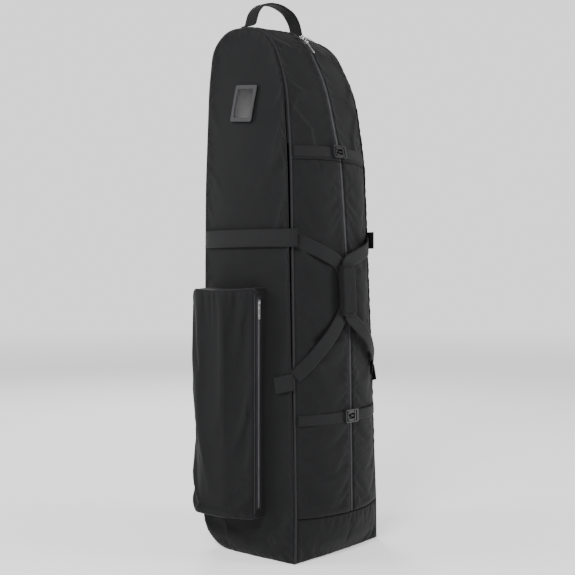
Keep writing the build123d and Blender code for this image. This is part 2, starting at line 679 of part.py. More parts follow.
# ---------------------------------------------------------------- carry loops and grip
LOOP_WIDTH = 38.0
LOOP_THICK = 2.4
LOOP_HEIGHT = {"left": 6.7, "right": 13.7}   # middle of the webbing above the fabric
GRIP_X = -22.0
GRIP_HALF = 23.5
GRIP_Z = 620.0
GRIP_LENGTH = 120.0


def carry_loop(side, height):
    """Flat loop of webbing from the seam to the grip and back, side -1 is the left."""
    seam = side * 150
    corners = [(seam, 742), (GRIP_X, 676), (GRIP_X, 560), (seam, 420)]
    line = FilletPolyline(*corners, radius=30)
    band = extrude(Plane.XZ * trace(line, LOOP_WIDTH), amount=300)
    sheet = arch_sheet(S_BAND + 200, S_SPLIT - 100, 5, LOOP_THICK, SHEET / 2 + height, 5.5)
    limit = block(-145, 145, -400, 0, 300, 900)
    return sheet & band & limit


nodes["carry_loop_left"] = carry_loop(-1, LOOP_HEIGHT["left"])
nodes["carry_loop_right"] = carry_loop(1, LOOP_HEIGHT["right"])

grip_frame = front_frame(GRIP_X, arch_length(lambda p: p.Z >= GRIP_Z)).location
half = GRIP_LENGTH / 2
grip = block(-GRIP_HALF, GRIP_HALF, -half, half, 8.8, 23.6)
grip = fillet(grip.edges().filter_by(Axis.Y), 4)
grip -= block(-21.4, 21.4, -half - 1, half + 1, 11, 16)
for low, high in ((-half - 1, -30), (30, half + 1)):
    grip -= block(-30, 30, low, high, 11, 16)
nodes["grip"] = grip_frame * grip
cover = block(-GRIP_HALF + 1, GRIP_HALF - 2, 6 - half, half - 6, 24.0, 26.4)
nodes["grip_flap"] = grip_frame * fillet(cover.edges().filter_by(Axis.Z), 5)

# ---------------------------------------------------------------- export
# the origin is the middle of the overall box, at the floor
LOWEST_Y = min(node.bounding_box().min.Y for node in nodes.values())
HIGHEST_Y = max(node.bounding_box().max.Y for node in nodes.values())
SHIFT_Y = -(LOWEST_Y + HIGHEST_Y) / 2

os.makedirs("parts", exist_ok=True)
for name, node in nodes.items():
    export_step(Pos(0, SHIFT_Y, 0) * node, "parts/" + name + ".step")
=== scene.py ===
import bpy
import json
import math
import numpy as np
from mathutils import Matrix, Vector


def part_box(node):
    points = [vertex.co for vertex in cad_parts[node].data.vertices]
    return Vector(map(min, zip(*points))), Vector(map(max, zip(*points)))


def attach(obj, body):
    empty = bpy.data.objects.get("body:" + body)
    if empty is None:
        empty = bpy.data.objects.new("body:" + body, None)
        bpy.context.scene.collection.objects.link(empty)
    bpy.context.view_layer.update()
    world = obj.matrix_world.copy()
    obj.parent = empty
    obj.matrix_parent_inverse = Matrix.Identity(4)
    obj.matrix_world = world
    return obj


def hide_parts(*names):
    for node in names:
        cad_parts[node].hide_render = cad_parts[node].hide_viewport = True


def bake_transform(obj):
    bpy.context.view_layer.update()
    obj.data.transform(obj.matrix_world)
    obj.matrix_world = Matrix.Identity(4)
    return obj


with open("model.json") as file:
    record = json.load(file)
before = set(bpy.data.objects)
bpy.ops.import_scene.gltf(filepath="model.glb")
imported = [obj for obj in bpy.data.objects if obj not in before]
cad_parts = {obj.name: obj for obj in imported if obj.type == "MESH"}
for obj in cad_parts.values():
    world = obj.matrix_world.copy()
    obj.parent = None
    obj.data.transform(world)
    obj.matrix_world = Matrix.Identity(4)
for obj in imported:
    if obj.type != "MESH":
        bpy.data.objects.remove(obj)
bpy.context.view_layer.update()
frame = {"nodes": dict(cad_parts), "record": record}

# ------------------------------------------------------------------ shared outline of the bag, in mm
# The same corners, widths and bulges as the CAD, before its shift along Y.
ARCH = [
    ((-142, 0), 0), ((-142, 100), 1500), ((-114, 925), 1200), ((-92, 1110), 330), ((-24.4, 1256), 120),
    ((108, 1256), 65), ((150, 1216), 65), ((155, 1120), 900), ((155, 871), 3000), ((149, 374), 3000),
    ((149, 3.3), 88), ((45, 3.3), 0),
]
WIDTHS = [(0, 157), (100, 156), (925, 140), (1110, 130), (1256, 117)]
FRONT_CROWN = [(0, 5), (40, 28), (100, 42), (500, 50), (720, 46), (925, 37), (1050, 22), (1110, 16),
               (1180, 11), (1250, 11), (1256, 14)]
BACK_CROWN = [(90, 0.1), (330, 0.1), (374, 1), (871, 11), (1120, 8), (1200, 8), (1250, 11), (1256, 14)]
SIDE_CROWN = [(0, 2), (50, 14), (120, 25), (400, 31), (925, 27), (1050, 21), (1150, 11), (1262, 1.5)]
SEAM_GAP = 1.0             # cloth edge to the middle of the piping
SLIT = 7.0                 # half width of the gap that the zipper closes
HOUSING_BACK = 155.5
SHIFT_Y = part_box("wheel_housing_left")[1][1] * 1000 - HOUSING_BACK


def table(rows, key):
    keys, values = zip(*rows)
    return np.interp(key, keys, values)


def rounded_line(corners, step=1.0):
    """Dense points of a polyline whose corners are rounded by their radii."""
    points = [np.array(corners[0][0], float)]
    for (before, _), (corner, radius), (after, _) in zip(corners, corners[1:], corners[2:]):
        before, corner, after = (np.array(p, float) for p in (before, corner, after))
        into = (corner - before) / np.linalg.norm(corner - before)
        out = (after - corner) / np.linalg.norm(after - corner)
        turn = math.acos(max(-1, min(1, into @ out)))
        side = 1 if into[0] * out[1] - into[1] * out[0] > 0 else -1
        normal = side * np.array([-into[1], into[0]])
        start = corner - into * radius * math.tan(turn / 2)
        for a in np.linspace(0, turn, max(2, int(radius * turn / step))):
            points.append(start + radius * (into * math.sin(a) + normal * (1 - math.cos(a))))
    points.append(np.array(corners[-1][0], float))
    points = np.array(points)
    lengths = np.concatenate([[0], np.cumsum(np.linalg.norm(np.diff(points, axis=0), axis=1))])
    even = np.linspace(0, lengths[-1], int(lengths[-1] / step))
    return even, np.stack([np.interp(even, lengths, points[:, i]) for i in (0, 1)], axis=1)


ARCH_S, ARCH_YZ = rounded_line(ARCH)
ARCH_T = np.gradient(ARCH_YZ, ARCH_S, axis=0)
ARCH_T /= np.linalg.norm(ARCH_T, axis=1)[:, None]


def along_arch(s):
    """Position (y, z) and direction (ty, tz) on the arch."""
    return [np.interp(s, ARCH_S, column) for column in (*ARCH_YZ.T, *ARCH_T.T)]


def arch_length(test):
    return next(s for s, (y, z) in zip(ARCH_S, ARCH_YZ) if test(y, z))


S_BAND = arch_length(lambda y, z: z >= 100)
S_SPLIT = arch_length(lambda y, z: z >= 925)
S_TOP = arch_length(lambda y, z: z > 1200 and y >= 2)
S_UPPER_BACK = arch_length(lambda y, z: y > 140 and z <= 871)
S_LOWER_BACK = arch_length(lambda y, z: y > 140 and z <= 374)
S_BAY = arch_length(lambda y, z: y > 140 and z <= 88)
S_END = arch_length(lambda y, z: z < 20 and 0 < y <= 61)


def half_width(z):
    return table(WIDTHS, z)


def arch_points(s, x, height):
    """Points over the arch's sheets: s along, x across, height outward from the middle surface."""
    y, z, ty, tz = along_arch(s)
    half = half_width(z) - SEAM_GAP
    crown = np.where(y < 40, table(FRONT_CROWN, z), table(BACK_CROWN, z))
    radius = (half * half + crown * crown) / (2 * crown)
    rise = np.sqrt(np.maximum(radius * radius - x * x, 0)) - radius + crown
    up = rise + height
    return np.stack([x + 0 * s, y - tz * up, z + ty * up], axis=-1)


def side_point(y, z, height):
    """Point over the left side panel's middle surface."""
    bulge = table(SIDE_CROWN, z)
    middle, reach = 3.0, 157.0
    radius = (reach * reach + bulge * bulge) / (2 * bulge)
    rise = np.sqrt(radius * radius - np.minimum(np.abs(y - middle), reach) ** 2) - radius + bulge
    return np.stack([-half_width(z) - rise - height, y + 0 * z, z + 0 * y], axis=-1)


# ------------------------------------------------------------------ noise and creases
def value_noise(u, v, seed):
    """Smooth repeatable noise from -1 to 1 over a unit lattice."""
    iu, iv = np.floor(u), np.floor(v)
    fu, fv = u - iu, v - iv
    fu, fv = fu * fu * (3 - 2 * fu), fv * fv * (3 - 2 * fv)

    def corner(a, b):
        h = np.sin(a * 127.1 + b * 311.7 + seed * 74.7) * 43758.5453
        return 2 * (h - np.floor(h)) - 1

    low = corner(iu, iv) * (1 - fu) + corner(iu + 1, iv) * fu
    high = corner(iu, iv + 1) * (1 - fu) + corner(iu + 1, iv + 1) * fu
    return low * (1 - fv) + high * fv


def creases(u, v, edge, along, seed, seam=1.1, drag=1.0, broad=1.6):
    """Height of cloth creases in mm: puckers at the seams, slanting drag folds, broad dents."""
    pucker = value_noise(along / 11, edge / 55, seed) + 0.5 * value_noise(along / 5, edge / 40, seed + 3)
    height = seam * pucker * np.exp(-edge / 20)
    for i, slant in enumerate((0.55, -0.8)):
        a = u * math.cos(slant) + v * math.sin(slant)
        b = v * math.cos(slant) - u * math.sin(slant)
        fold = 1 - 2 * np.abs(value_noise(a / 150 + 7 * i, b / 22, seed + 11 + i))
        patch = np.clip(value_noise(u / 170, v / 170, seed + 21 + i), 0, 1)
        height = height + drag * np.maximum(fold, 0) ** 2 * patch * (1 - np.exp(-edge / 15))
    return height + broad * value_noise(u / 95, v / 120, seed + 31) * (1 - np.exp(-edge / 30))


# ------------------------------------------------------------------ meshes
def place(points):
    """From the outline's mm to the frame's metres."""
    return (np.asarray(points, float).reshape(-1, 3) + [0, SHIFT_Y, 0]) / 1000


def new_object(name, verts, faces, uv=None, edge_uv=None, smooth=True):
    mesh = bpy.data.meshes.new(name)
    mesh.from_pydata([tuple(v) for v in verts], [], faces)
    mesh.update()
    for layer_name, values in (("weave", uv), ("edge", edge_uv)):
        if values is None:
            continue
        layer = mesh.uv_layers.new(name=layer_name)
        index = np.empty(len(mesh.loops), dtype=np.int32)
        mesh.loops.foreach_get("vertex_index", index)
        layer.data.foreach_set("uv", np.asarray(values, float)[index].ravel())
    if smooth:
        mesh.polygons.foreach_set("use_smooth", [True] * len(mesh.polygons))
    obj = bpy.data.objects.new(name, mesh)
    bpy.context.scene.collection.objects.link(obj)
    return obj


def grid_faces(rows, columns, start=0, flip=False):
    faces = []
    for r in range(rows - 1):
        for c in range(columns - 1):
            a = start + r * columns + c
            quad = (a, a + 1, a + columns + 1, a + columns)
            faces.append(quad[::-1] if flip else quad)
    return faces


def rim(rows, columns):
    """Vertex indices round a grid's border, in order."""
    ring = [c for c in range(columns)]
    ring += [r * columns + columns - 1 for r in range(1, rows)]
    ring += [(rows - 1) * columns + c for c in range(columns - 2, -1, -1)]
    return ring + [r * columns for r in range(rows - 2, 0, -1)]


def closed_sheet(name, outer, inner, u, v, edge, flip=False):
    """Closed cloth sheet from two grids of points."""
    rows, columns = outer.shape[:2]
    count = rows * columns
    faces = grid_faces(rows, columns, 0, flip) + grid_faces(rows, columns, count, not flip)
    ring = rim(rows, columns)
    for a, b in zip(ring, ring[1:] + ring[:1]):
        quad = (b, a, a + count, b + count)
        faces.append(quad[::-1] if flip else quad)
    verts = np.concatenate([place(outer), place(inner)])
    uv = np.stack([u.ravel(), v.ravel()], axis=1) / 1000
    edge_uv = np.stack([v.ravel(), edge.ravel()], axis=1) / 1000
    return new_object(name, verts, faces, np.tile(uv, (2, 1)), np.tile(edge_uv, (2, 1)))


def grid_normals(points):
    across = np.gradient(points, axis=1)
    along = np.gradient(points, axis=0)
    normal = np.cross(across, along)
    return normal / np.linalg.norm(normal, axis=-1)[..., None]


def drape(points, normals, cap):
    """Cloth simulation of a pinned grid: the cloth is cut a little large and pushed outward."""
    rows, columns = points.shape[:2]
    obj = new_object("draping", place(points), grid_faces(rows, columns))
    pins = obj.vertex_groups.new(name="pins")
    pins.add(rim(rows, columns), 1.0, "REPLACE")
    cloth = obj.modifiers.new("cloth", "CLOTH")
    settings = cloth.settings
    settings.quality = 4
    settings.mass = 0.25
    settings.tension_stiffness = 25
    settings.compression_stiffness = 10
    settings.bending_stiffness = 0.6
    settings.vertex_group_mass = "pins"
    settings.shrink_min = -0.022
    settings.shrink_max = -0.022
    settings.use_pressure = True
    settings.uniform_pressure_force = 1.2
    settings.effector_weights.gravity = 0.35
    cloth.point_cache.frame_start = 1
    cloth.point_cache.frame_end = 16
    scene = bpy.context.scene
    for number in range(1, 17):
        scene.frame_set(number)
    posed = obj.evaluated_get(bpy.context.evaluated_depsgraph_get())
    moved = np.empty(rows * columns * 3)
    posed.data.vertices.foreach_get("co", moved)
    scene.frame_set(1)
    bpy.data.objects.remove(obj)
    shift = moved.reshape(rows, columns, 3) * 1000 - [0, SHIFT_Y, 0] - points
    shift = np.sum(shift * normals, axis=-1)[..., None] * normals
    size = np.linalg.norm(shift, axis=-1)[..., None]
    return points + shift * cap * np.tanh(size / cap) / np.maximum(size, 1e-6)


def refine(grid, factor):
    """Smoothly resampled grid with factor times as many cells."""
    for axis in (0, 1):
        n = grid.shape[axis]
        new = np.linspace(0, n - 1, (n - 1) * factor + 1)
        padded = np.concatenate([
            2 * np.take(grid, [0], axis) - np.take(grid, [1], axis), grid,
            2 * np.take(grid, [n - 1], axis) - np.take(grid, [n - 2], axis)], axis)
        i = np.minimum(new.astype(int), n - 2)
        t = (new - i).reshape([-1 if k == axis else 1 for k in range(grid.ndim)])
        p0, p1, p2, p3 = (np.take(padded, i + k, axis) for k in range(4))
        grid = 0.5 * (2 * p1 + (p2 - p0) * t + (2 * p0 - 5 * p1 + 4 * p2 - p3) * t ** 2
                      + (3 * p1 - p0 - 3 * p2 + p3) * t ** 3)
    return grid


def edge_roll(distance, thickness=2.4, reach=4.5):
    """Outer face height near a raw edge, rounding down to the middle."""
    t = np.clip(1 - distance / reach, 0, 1)
    return thickness * np.sqrt(1 - t * t * 0.98)


def cloth_panel(name, point, coords, edge, seed, cap=5.0, flip=False, fold=1.0, sim=True):
    """Cloth panel: coarse grid draped by simulation, refined, creased and given thickness.

    point gives positions for (a, b, height); coords and edge are coarse grids.
    """
    a, b, u, v = coords
    middle = point(a, b, 0.0)
    outward = point(a, b, 1.0) - middle
    outward /= np.linalg.norm(outward, axis=-1)[..., None]
    if sim:
        middle = drape(middle, outward, cap)
    factor = 3
    middle, outward, edge, u, v = (refine(g, factor) for g in (middle, outward, edge, u, v))
    edge = np.maximum(edge, 0)
    outward /= np.linalg.norm(outward, axis=-1)[..., None]
    lift = edge_roll(edge) + fold * creases(u, v, edge, v + u, seed)
    outer = middle + outward * lift[..., None]
    inner = middle - outward * 2.0
    return closed_sheet(name, outer, inner, u, v, edge, flip)


def arch_panel(name, s0, s1, left, right, seed, cell=9.0, point=arch_points, **options):
    """Cloth panel on the arch from s0 to s1 and between two lines across."""
    rows = max(4, int((s1 - s0) / cell) + 1)
    s = np.linspace(s0, s1, rows)
    z = along_arch(s)[1]
    limit = half_width(z) - SEAM_GAP
    lo, hi = np.maximum(left, -limit), np.minimum(right, limit)
    columns = max(4, int((hi - lo).max() / cell) + 1)
    t = np.linspace(0, 1, columns)[None, :]
    x = lo[:, None] + (hi - lo)[:, None] * t
    ss = np.repeat(s[:, None], columns, axis=1)
    edge = np.minimum(np.minimum(x - lo[:, None], hi[:, None] - x), 2.5 * np.minimum(ss - s0, s1 - ss))
    return cloth_panel(name, point, (ss, x, x, ss), edge, seed, **options)


def arch_strip(name, s0, s1, x0, x1, height, thick):
    """Thin strip on the arch between two lines across."""
    s = np.linspace(s0, s1, int((s1 - s0) / 8) + 2)[:, None]
    x = np.linspace(x0, x1, 7)[None, :]
    ss, xx = s + 0 * x, x + 0 * s
    outer = arch_points(ss, xx, height + thick / 2)
    inner = arch_points(ss, xx, height - thick / 2)
    return closed_sheet(name, outer, inner, xx, ss, np.full(ss.shape, 40.0))


def frame_along(points, hint):
    """Unit tangents, across and normal vectors along a line of points; hint is roughly the normal."""
    tangent = np.gradient(points, axis=0)
    tangent /= np.linalg.norm(tangent, axis=1)[:, None]
    across = np.cross(np.broadcast_to(hint, points.shape), tangent)
    across /= np.linalg.norm(across, axis=1)[:, None]
    return tangent, across, np.cross(tangent, across)


def smooth_line(keys, count):
    """Catmull-Rom line through key points, evenly resampled."""
    grid = refine(np.asarray(keys, float)[:, None, :].repeat(2, axis=1), 24)[:, 0]
    d = np.concatenate([[0], np.cumsum(np.linalg.norm(np.diff(grid, axis=0), axis=1))])
    t = np.linspace(0, d[-1], count)
    return np.stack([np.interp(t, d, grid[:, i]) for i in range(3)], axis=1)


def swept(name, points, across, normal, profile, closed_ends=True):
    """Closed profile (across, normal) swept along a line; weave follows the length."""
    profile = np.asarray(profile, float)
    n, m = len(points), len(profile)
    if profile.ndim == 2:
        profile = np.broadcast_to(profile, (n, m, 2))
    else:
        m = profile.shape[1]
    verts = points[:, None] + across[:, None] * profile[..., :1] + normal[:, None] * profile[..., 1:]
    length = np.concatenate([[0], np.cumsum(np.linalg.norm(np.diff(points, axis=0), axis=1))])
    faces = []
    for i in range(n - 1):
        for j in range(m):
            k = (j + 1) % m
            faces.append((i * m + j, i * m + k, (i + 1) * m + k, (i + 1) * m + j))
    if closed_ends:
        faces += [tuple(range(m))[::-1], tuple(range((n - 1) * m, n * m))]
    v = np.repeat(length[:, None], m, axis=1)
    half = np.abs(profile[..., 0]).max(axis=1)[:, None]
    edge = half - np.abs(profile[..., 0])
    uv = np.stack([profile[..., 0].ravel(), v.ravel()], axis=1) / 1000
    edge_uv = np.stack([v.ravel(), edge.ravel()], axis=1) / 1000
    return new_object(name, place(verts), faces, uv, edge_uv)


def web_profile(width, thick, columns=9):
    """Flat webbing section with rounded selvedges."""
    x = np.linspace(-1, 1, columns) * (width / 2)
    h = thick / 2 * np.sqrt(np.clip(1 - (np.abs(x) / (width / 2)) ** 14, 0.12, 1))
    return np.concatenate([np.stack([x, h], axis=1), np.stack([x, -h], axis=1)[::-1]])


def tube(name, points, radius, sides=8, hint=(1, 0.01, 0)):
    across, normal = frame_along(np.asarray(points, float), np.array(hint))[1:]
    a = np.arange(sides) / sides * 2 * math.pi
    return swept(name, points, across, normal, np.stack([np.cos(a), np.sin(a)], axis=1) * radius)


def joined(name, objects):
    """One object from several."""
    bpy.ops.object.select_all(action="DESELECT")
    for obj in objects:
        obj.select_set(True)
    bpy.context.view_layer.objects.active = objects[0]
    bpy.ops.object.join()
    objects[0].name = name
    return objects[0]


def teeth(name, frames, half=2.9, pitch=1.9, side=0):
    """Coil teeth along a chain: frames are (origin, across, along, out) at each tooth."""
    verts, faces = [], []
    box = [(0, 0), (1, 0), (1, 1), (0, 1)]
    for origin, across, along, out in frames:
        for hand in ((-1, 1) if side == 0 else (side,)):
            shift = 0.25 * pitch * hand
            x0, x1 = (-0.35, half) if hand > 0 else (-half, 0.35)
            start = len(verts)
            for z in (-0.5, 0.55):
                for bx, by in box:
                    taper = 0.72 if z > 0 else 1.0
                    x = (x0 + x1) / 2 + (bx - 0.5) * (x1 - x0) * taper
                    y = (by - 0.5) * pitch * 0.62 * taper + shift
                    verts.append(origin + across * x + along * y + out * z)
            faces += [tuple(start + k for k in f) for f in (
                (3, 2, 1, 0), (4, 5, 6, 7), (0, 1, 5, 4), (1, 2, 6, 5), (2, 3, 7, 6), (3, 0, 4, 7))]
    return new_object(name, place(verts), faces, smooth=False)


def arch_frames(s0, s1, pitch, x, height):
    s = np.arange(s0, s1, pitch)
    origin = arch_points(s, x + 0 * s, height)
    ty, tz = along_arch(s)[2:]
    along = np.stack([0 * s, ty, tz], axis=1)
    out = np.stack([0 * s, -tz, ty], axis=1)
    return [(o, np.array([1.0, 0, 0]), a, b) for o, a, b in zip(origin, along, out)]


# ------------------------------------------------------------------ materials
def nodes_of(name):
    mat = bpy.data.materials.new(name)
    mat.use_nodes = True
    tree = mat.node_tree
    return mat, tree, tree.nodes["Principled BSDF"]


def add(tree, kind, inputs=None, **settings):
    node = tree.nodes.new(kind)
    for key, value in settings.items():
        setattr(node, key, value)
    for key, value in (inputs or {}).items():
        if isinstance(value, bpy.types.NodeSocket):
            tree.links.new(value, node.inputs[key])
        else:
            node.inputs[key].default_value = value
    return node


def maths(tree, operation, a, b=0.0, c=0.0):
    return add(tree, "ShaderNodeMath", {0: a, 1: b, 2: c}, operation=operation).outputs[0]


def noise_at(tree, vector, scale, detail=3.0, roughness=0.6):
    inputs = {"Vector": vector, "Scale": scale, "Detail": detail, "Roughness": roughness}
    return add(tree, "ShaderNodeTexNoise", inputs).outputs["Fac"]


def ramp(tree, factor, low, high):
    """Blend between two greys or colours."""
    inputs = {0: factor, 6: (*low, 1), 7: (*high, 1)}
    return add(tree, "ShaderNodeMix", inputs, data_type="RGBA").outputs[2]


def grey(value, tint=0.0):
    return (value, value, value * (1 + tint))


def fabric(name, base, pitch=0.0011, uv=True, rough=0.85, stitch=None, bump=0.3, sheen=0.05, twill=False,
           contrast=0.45):
    """Woven cloth: yarns over and under, mottled dye, fine fuzz, stitch lines along the seams."""
    mat, tree, shader = nodes_of(name)
    if uv:
        vector = add(tree, "ShaderNodeUVMap", uv_map="weave").outputs[0]
    else:
        vector = add(tree, "ShaderNodeTexCoord").outputs["Object"]
    parts = add(tree, "ShaderNodeSeparateXYZ", {0: vector})
    x, y, z = parts.outputs
    if not uv:
        x, y = maths(tree, "ADD", x, y), z
    k = math.pi / pitch
    if twill:
        diagonal = maths(tree, "ADD", maths(tree, "MULTIPLY", x, k), maths(tree, "MULTIPLY", y, k))
        yarn = maths(tree, "MULTIPLY", maths(tree, "SINE", diagonal), 1.0)
    else:
        yarn = maths(tree, "MULTIPLY", maths(tree, "SINE", maths(tree, "MULTIPLY", x, k)),
                     maths(tree, "SINE", maths(tree, "MULTIPLY", y, k)))
    yarn = maths(tree, "MULTIPLY_ADD", yarn, 0.5, 0.5)
    mottle = noise_at(tree, vector, 14.0, 4.0)
    slub = noise_at(tree, vector, 900.0, 2.0)
    tone = maths(tree, "MULTIPLY", yarn, contrast * 0.5)
    tone = maths(tree, "ADD", tone, maths(tree, "MULTIPLY", slub, 0.55))
    tone = maths(tree, "ADD", tone, maths(tree, "MULTIPLY", mottle, 0.35))
    colour = ramp(tree, tone, [c * 0.4 for c in base], [c * 2.0 for c in base])
    height = maths(tree, "ADD", yarn, maths(tree, "MULTIPLY", slub, 0.6))
    if stitch:
        edge = add(tree, "ShaderNodeSeparateXYZ", {0: add(tree, "ShaderNodeUVMap", uv_map="edge").outputs[0]})
        along, across = edge.outputs[0], edge.outputs[1]
        for line in stitch:
            near = maths(tree, "COMPARE", across, line, 0.00045)
            dash = maths(tree, "LESS_THAN", maths(tree, "FRACT", maths(tree, "MULTIPLY", along, 250)), 0.68)
            thread = maths(tree, "MULTIPLY", near, dash)
            colour = add(tree, "ShaderNodeMix", {0: thread, 6: colour, 7: (*[c * 1.9 for c in base], 1)},
                         data_type="RGBA").outputs[2]
            height = maths(tree, "ADD", height, maths(tree, "MULTIPLY", thread, 2.5))
    tree.links.new(colour, shader.inputs["Base Color"])
    shade = maths(tree, "MULTIPLY_ADD", slub, 0.14, rough - 0.07)
    tree.links.new(shade, shader.inputs["Roughness"])
    shader.inputs["Sheen Weight"].default_value = sheen
    shader.inputs["Sheen Roughness"].default_value = 0.45
    shader.inputs["Specular IOR Level"].default_value = 0.16
    bumped = add(tree, "ShaderNodeBump", {"Strength": bump, "Distance": 0.0004, "Height": height})
    tree.links.new(bumped.outputs[0], shader.inputs["Normal"])
    return mat


def hard(name, base, rough, metal=0.0, grain=0.15, grain_scale=900.0, edge_wear_and_highlight=2.2, coat=0.0, clear=0.0):
    """Moulded or cast surface: fine grain, faint scuffs and lighter edges, partly wear and partly a painted
    highlight.
    """
    mat, tree, shader = nodes_of(name)
    vector = add(tree, "ShaderNodeTexCoord").outputs["Object"]
    grainy = noise_at(tree, vector, grain_scale, 2.0)
    scuff = noise_at(tree, vector, 38.0, 5.0, 0.7)
    point = add(tree, "ShaderNodeNewGeometry").outputs["Pointiness"]
    # painted highlight and wear: edges that stand out by pointiness get a lighter colour, standing in for
    # light caught on rounded edges as well as rubbing
    worn_edge_and_highlight = add(tree, "ShaderNodeMapRange", {0: point, 1: 0.52, 2: 0.62, 3: 0.0, 4: 1.0}).outputs[0]
    tone = maths(tree, "MULTIPLY_ADD", grainy, 0.4, maths(tree, "MULTIPLY", scuff, 0.5))
    colour = ramp(tree, tone, [c * 0.7 for c in base], [min(1, c * 1.35) for c in base])
    colour = add(tree, "ShaderNodeMix", {0: worn_edge_and_highlight, 6: colour, 7: (*[min(1, c * edge_wear_and_highlight) for c in base], 1)},
                 data_type="RGBA").outputs[2]
    tree.links.new(colour, shader.inputs["Base Color"])
    shade = maths(tree, "MULTIPLY_ADD", scuff, 0.22, rough - 0.1)
    tree.links.new(shade, shader.inputs["Roughness"])
    shader.inputs["Metallic"].default_value = metal
    shader.inputs["Coat Weight"].default_value = coat
    shader.inputs["Transmission Weight"].default_value = clear
    bumped = add(tree, "ShaderNodeBump", {"Strength": grain, "Distance": 0.0002, "Height": grainy})
    tree.links.new(bumped.outputs[0], shader.inputs["Normal"])
    return mat


CHARCOAL = (0.0062, 0.0063, 0.0068)
WEBBING = (0.0066, 0.0067, 0.0072)
mat_body = fabric("woven_polyester", CHARCOAL, stitch=(0.006, 0.0095))
mat_back = fabric("coated_polyester", (0.0056, 0.0057, 0.0062), pitch=0.0008, rough=0.62, stitch=(0.006,),
                  sheen=0.02)
mat_plain = fabric("polyester_plain", CHARCOAL, uv=False)
mat_lining = fabric("lining_cloth", (0.02, 0.02, 0.022), pitch=0.0007, uv=False, contrast=0.3)
mat_quilt = fabric("quilted_lining", (0.024, 0.024, 0.026), pitch=0.0007)
mat_web = fabric("ribbed_webbing", WEBBING, pitch=0.0019, rough=0.75, twill=True, bump=0.7,
                 stitch=(0.003,), contrast=0.9)
mat_web_plain = fabric("webbing_plain", WEBBING, pitch=0.0019, uv=False, twill=True, bump=0.7)
mat_pipe = fabric("piping_cord", (0.014, 0.014, 0.0155), pitch=0.0016, uv=False, rough=0.6, twill=True,
                  sheen=0.03)
mat_tape = fabric("zipper_tape", (0.013, 0.013, 0.0145), pitch=0.0009, uv=False, rough=0.8)
# the edge factor of each hard material below sets how much lighter its edges are painted: partly wear, partly
# a painted highlight
mat_coil = hard("zipper_coil", (0.018, 0.018, 0.02), 0.45, grain=0.05)
mat_pocket_coil = hard("pocket_zipper_coil", (0.06, 0.06, 0.063), 0.4, grain=0.05)
mat_shell = hard("moulded_black", (0.016, 0.0165, 0.018), 0.48, grain=0.3, grain_scale=1400, edge_wear_and_highlight=2.8)
mat_acetal = hard("acetal", (0.008, 0.008, 0.009), 0.32, edge_wear_and_highlight=1.6)
mat_zinc = hard("zinc_pull", (0.55, 0.55, 0.55), 0.38, metal=1.0, edge_wear_and_highlight=1.4, grain=0.1)
mat_steel = hard("bright_steel", (0.62, 0.62, 0.63), 0.3, metal=1.0, edge_wear_and_highlight=1.3, grain=0.08)
mat_tyre = hard("urethane_tyre", (0.012, 0.012, 0.014), 0.2, grain=0.05, edge_wear_and_highlight=1.5, coat=0.5)
mat_hub = hard("hub_plastic", (0.02, 0.02, 0.022), 0.35, edge_wear_and_highlight=3.0)
mat_board = hard("stiffener_board", (0.06, 0.06, 0.06), 0.7, grain=0.3)
mat_bind = fabric("window_binding", (0.03, 0.03, 0.032), pitch=0.0012, uv=False, rough=0.6, bump=0.5)


def film_material():
    mat, tree, shader = nodes_of("clear_film")
    vector = add(tree, "ShaderNodeTexCoord").outputs["Object"]
    stretched = add(tree, "ShaderNodeMapping", {"Vector": vector, "Scale": (1, 60, 4)}).outputs[0]
    streak = noise_at(tree, stretched, 3.0, 3.0)
    shade = maths(tree, "MULTIPLY_ADD", streak, 0.25, 0.08)
    tree.links.new(shade, shader.inputs["Roughness"])
    tree.links.new(ramp(tree, streak, grey(0.006), grey(0.03)), shader.inputs["Base Color"])
    tree.links.new(maths(tree, "MULTIPLY_ADD", streak, 0.3, 0.15), shader.inputs["Alpha"])
    shader.inputs["Specular IOR Level"].default_value = 0.2
    return mat


mat_film = film_material()
by_slot = {
    "woven_polyester": mat_plain, "coated_polyester": mat_plain, "webbing": mat_web_plain, "piping": mat_pipe,
    "foam_padding": mat_lining, "stiffener_board": mat_board, "zipper_tape": mat_tape, "zinc_pull": mat_zinc,
    "moulded_black": mat_shell, "bright_steel": mat_steel, "urethane_tyre": mat_tyre, "hub_plastic": mat_hub,
    "acetal": mat_acetal, "grip_fabric": mat_plain, "window_binding": mat_bind, "clear_film": mat_film,
}
for row in frame["record"]["subparts"]:
    node = frame["nodes"][row["node"]]
    node.data.materials.clear()
    node.data.materials.append(by_slot[row["material_slot"]])


def finish_piece(obj, material, body, nodes=()):
    """Material, body, slot and replaced nodes of a piece; a piece given no body is not attached."""
    obj.data.materials.append(material)
    if body:
        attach(obj, body)
    if nodes:
        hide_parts(*nodes)
    return obj


# ------------------------------------------------------------------ body panels
WIDE = 400.0
finish_piece(arch_panel("band_cloth", 2, S_BAND - 1, -WIDE, WIDE, 1, cell=8, fold=0.8), mat_body, "bag",
             ["front_base_band"])
for side, name, body in ((-1, "left", "flap_left"), (1, "right", "flap_right")):
    x0, x1 = (-WIDE, -SLIT) if side < 0 else (SLIT, WIDE)
    flap = arch_panel("flap_cloth_" + name, S_BAND + 1, S_SPLIT - 0.4, x0, x1, 5 + side, cap=6)
    finish_piece(flap, mat_body, body, ["front_flap_" + name])
    hood = arch_panel("hood_cloth_" + name, S_SPLIT + 0.4, S_TOP, x0, x1, 9 + side, cap=4)
    finish_piece(hood, mat_body, "bag", ["hood_" + name])
top = arch_panel("top_back_cloth", S_TOP + 1, S_UPPER_BACK - 1, -WIDE, WIDE, 13, cap=4)
finish_piece(top, mat_body, "bag", ["upper_back_panel"])
middle = arch_panel("middle_back_cloth", S_UPPER_BACK + 1, S_LOWER_BACK - 1, -WIDE, WIDE, 17, cap=6)
